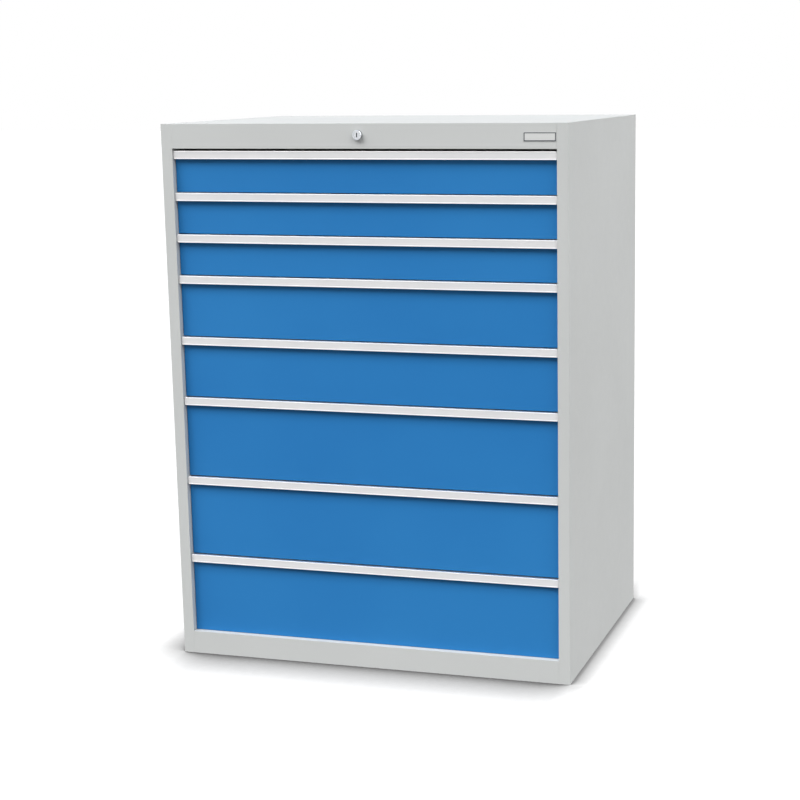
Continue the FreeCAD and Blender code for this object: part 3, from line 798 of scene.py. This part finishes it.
def beside_cabinet(tree, across, along):
    """A mask: 0 in front of the cabinet, 1 on the strip beside its right-hand panel."""
    past_side = spread(tree, across, half_width - 0.02, half_width + 0.01)
    past_front = spread(tree, along, front_plane - 0.03, front_plane + 0.01)
    past_corner = spread(tree, across, half_width - 0.02, half_width + 0.04)
    strip = math_node(tree, "MULTIPLY", past_side, past_front)
    return math_node(tree, "MAXIMUM", strip, past_corner)


def contact_shade(finish, across, along):
    """How light the floor is: white in the open, grey towards the cabinet's foot."""
    tree = finish.tree
    beside = beside_cabinet(tree, across, along)
    reach = spread(tree, across, -half_width - 0.02, -half_width + 0.06, left_reach, front_reach)
    near = tree.nodes.new("ShaderNodeAmbientOcclusion")
    near.samples = 16
    tree.links.new(spread(tree, beside, 0.0, 1.0, reach, side_reach), near.inputs["Distance"])
    contact = tree.nodes.new("ShaderNodeValToRGB")
    ramp = contact.color_ramp
    while len(ramp.elements) < len(contact_greys):
        ramp.elements.new(0.5)
    for stop, (position, grey) in zip(ramp.elements, contact_greys):
        stop.position = position
        stop.color = (grey, grey, grey, 1.0)
    tree.links.new(near.outputs["AO"], contact.inputs["Fac"])
    lift = math_node(tree, "MULTIPLY", beside, side_lift)
    lifted = finish.blend(lift, contact.outputs["Color"], (1, 1, 1, 1))
    grain = noise_node(tree, finish.place, floor_grain_per_metre, detail=4.0)
    return math_node(tree, "MULTIPLY", noise_spread(tree, grain, 0.97, 1.0), lifted)


print("reach of the contact shadow, front, left, right:", front_reach, left_reach, side_reach)

# %% [markdown]
# ## What the floor gives back
# Light Path lets the floor answer each kind of ray in its own way. The eye sees the shade from
# above, nearly all of it as an even glow and the rest as lamp light on a matt floor. Metal sees
# plain white. Paint gets a low even glow, so that the sides don't darken towards their feet, and
# more from a patch behind the cabinet, as from a white board laid there, because only two low
# lamps reach the back.

# %% Mix the floor's finish
lit_share, glow_share = 0.15, 0.95
paint_return, board_return = 0.30, 1.3
board_blur = 0.1


def floor_return(tree, mirrored, across, along):
    """The floor as metal and paint see it: white, or a low glow with the board behind."""
    sideways = math_node(tree, "ABSOLUTE", across)
    board_width = spread(tree, sideways, half_width - board_blur, half_width, 1.0, 0.0)
    board_length = spread(tree, along, back_plane, back_plane + board_blur)
    board = math_node(tree, "MULTIPLY", board_width, board_length)
    plain = spread(tree, board, 0.0, 1.0, paint_return, board_return)
    returned = tree.nodes.new("ShaderNodeEmission")
    tree.links.new(spread(tree, mirrored, 0.0, 1.0, plain, 1.0), returned.inputs["Strength"])
    return returned.outputs["Emission"]


def floor_finish():
    """Pale floor: shaded white to the eye, plain white to metal, a low glow to paint."""
    finish = Finish("studio_floor")
    tree = finish.tree
    across, along = axes(tree, finish.place)[:2]
    shade = contact_shade(finish, across, along)
    lit = tree.nodes.new("ShaderNodeBsdfDiffuse")
    tree.links.new(math_node(tree, "MULTIPLY", shade, lit_share), lit.inputs["Color"])
    glow = tree.nodes.new("ShaderNodeEmission")
    tree.links.new(math_node(tree, "MULTIPLY", shade, glow_share), glow.inputs["Strength"])
    seen = tree.nodes.new("ShaderNodeAddShader")
    tree.links.new(lit.outputs["BSDF"], seen.inputs[0])
    tree.links.new(glow.outputs["Emission"], seen.inputs[1])
    path = tree.nodes.new("ShaderNodeLightPath")
    mirrored = math_node(tree, "MAXIMUM", path.outputs["Is Glossy Ray"],
                         path.outputs["Is Transmission Ray"])
    choose = tree.nodes.new("ShaderNodeMixShader")
    tree.links.new(path.outputs["Is Camera Ray"], choose.inputs["Fac"])
    tree.links.new(floor_return(tree, mirrored, across, along), choose.inputs[1])
    tree.links.new(seen.outputs["Shader"], choose.inputs[2])
    tree.links.new(choose.outputs["Shader"], finish.output.inputs["Surface"])
    tree.nodes.remove(finish.shader)
    return finish.material


pale_floor = floor_finish()
print("floor finish:", pale_floor.name)

# %% [markdown]
# ## Lay the floor
# The floor reaches so far that its edge can't be told from the white beyond it. It is a grid of a
# few squares in the plane Z = 0. It isn't part of the cabinet.

# %% Lay the floor under the cabinet
floor_reach = 40.0


def lay_floor():
    """A square floor under the cabinet."""
    mesh = bmesh.new()
    bmesh.ops.create_grid(mesh, x_segments=4, y_segments=4, size=floor_reach)
    return make_object("studio_floor", mesh, pale_floor)


floor = lay_floor()
print("floor reach in metres:", floor_reach)

# %% [markdown]
# ## Light
# The key is a long strip of light, high in front and as wide as the room. Three lamps stand in for
# it, all at one height and at different places across: so every grip throws a deep shadow that
# runs evenly along the drawer, while a small thing like the lock throws only a faint one, and the
# blue darkens softly towards both uprights. A low fill from the right carries the side panel. Two
# low lamps behind the cabinet light its back, and a faint bluish sky tints the top. Suns with a
# wide angle act as very large softboxes: their shadows blur with distance, and the floor gets the
# same light everywhere.

# %% Hang the lamps
strip_forward, strip_height, strip_blur = -0.56, 0.84, 38
strip_lamps = (("left", -1.0, 0.49), ("middle", -0.3, 0.70), ("right", 0.6, 0.38))


def softbox(name, towards, level, blur_degrees, tint=(1.0, 1.0, 1.0)):
    """A sun seen in the direction 'towards'; level 1 lights a facing white sheet to white."""
    lamp = bpy.data.lights.new(name, "SUN")
    lamp.energy = level * math.pi
    lamp.angle = math.radians(blur_degrees)
    lamp.color = tint
    holder = bpy.data.objects.new(name, lamp)
    holder.rotation_euler = Vector(towards).to_track_quat("Z", "Y").to_euler()
    bpy.context.scene.collection.objects.link(holder)
    return holder


for side, across, level in strip_lamps:
    softbox(f"strip_{side}", (across, strip_forward, strip_height), level, strip_blur)
softbox("fill_right", towards=(1.0, -0.28, 0.08), level=0.38, blur_degrees=60)
softbox("back_right", towards=(1.0, 0.75, 0.04), level=0.54, blur_degrees=30)
softbox("back_left", towards=(-1.0, 0.75, 0.04), level=0.56, blur_degrees=30)
softbox("sky_from_above", towards=(0.0, 0.12, 1.0), level=0.05, blur_degrees=50,
        tint=(0.0, 0.3, 1.0))

# %% [markdown]
# ## The room
# The world is the white room around the cabinet. The eye and every reflection see it plain white,
# so chrome and aluminium look like metal in a bright studio. What it adds to the light on paint is
# set apart and is only a soft even glow. The Standard view keeps each colour as it was written.

# %% Whiten the room
room_glow = 0.05


def studio_world():
    """White to the eye and in reflections, and a soft even glow for the rest."""
    world = bpy.data.worlds.new("studio")
    bpy.context.scene.world = world
    world.use_nodes = True
    tree = world.node_tree
    tree.nodes.clear()
    path = tree.nodes.new("ShaderNodeLightPath")
    seen = math_node(tree, "MAXIMUM", path.outputs["Is Camera Ray"],
                     path.outputs["Is Glossy Ray"])
    seen = math_node(tree, "MAXIMUM", seen, path.outputs["Is Transmission Ray"])
    glow = tree.nodes.new("ShaderNodeBackground")
    glow.inputs["Color"].default_value = (1, 1, 1, 1)
    tree.links.new(spread(tree, seen, 0.0, 1.0, room_glow, 1.0), glow.inputs["Strength"])
    output = tree.nodes.new("ShaderNodeOutputWorld")
    tree.links.new(glow.outputs["Background"], output.inputs["Surface"])


studio_world()
bpy.context.scene.view_settings.view_transform = "Standard"
print("the room glows at:", room_glow)

# %% [markdown]
# ## Camera
# The camera stands a little above the cabinet's top and to its right, far enough back that the
# uprights stay nearly parallel. Its place and its turn are given outright. A small roll and a
# small lens shift centre the cabinet in the frame, without tilting it any further.

# %% Stand the camera
camera_place = (1.46208, -4.26382, 1.42915)
camera_azimuth, camera_elevation, camera_roll = (
    math.radians(angle) for angle in (16.41, 11.21, -0.648))
lens_length, film_width = 79.601, 36.0
lens_shift = (-0.11439, 0.03034)


def stand_camera():
    """A camera that looks from the right and from slightly above."""
    ahead = Vector((-math.sin(camera_azimuth) * math.cos(camera_elevation),
                    math.cos(camera_azimuth) * math.cos(camera_elevation),
                    -math.sin(camera_elevation)))
    level = Vector((math.cos(camera_azimuth), math.sin(camera_azimuth), 0.0))
    upright = level.cross(ahead)
    right = level * math.cos(camera_roll) + upright * math.sin(camera_roll)
    up = upright * math.cos(camera_roll) - level * math.sin(camera_roll)
    lens = bpy.data.cameras.new("camera")
    lens.sensor_width = film_width
    lens.lens = lens_length
    lens.shift_x, lens.shift_y = lens_shift
    holder = bpy.data.objects.new("camera", lens)
    turn = Matrix((right, up, -ahead)).transposed()
    holder.matrix_world = Matrix.Translation(camera_place) @ turn.to_4x4()
    bpy.context.scene.collection.objects.link(holder)
    bpy.context.scene.camera = holder
    return holder


camera = stand_camera()
print("camera at:", [round(value, 3) for value in camera.location])
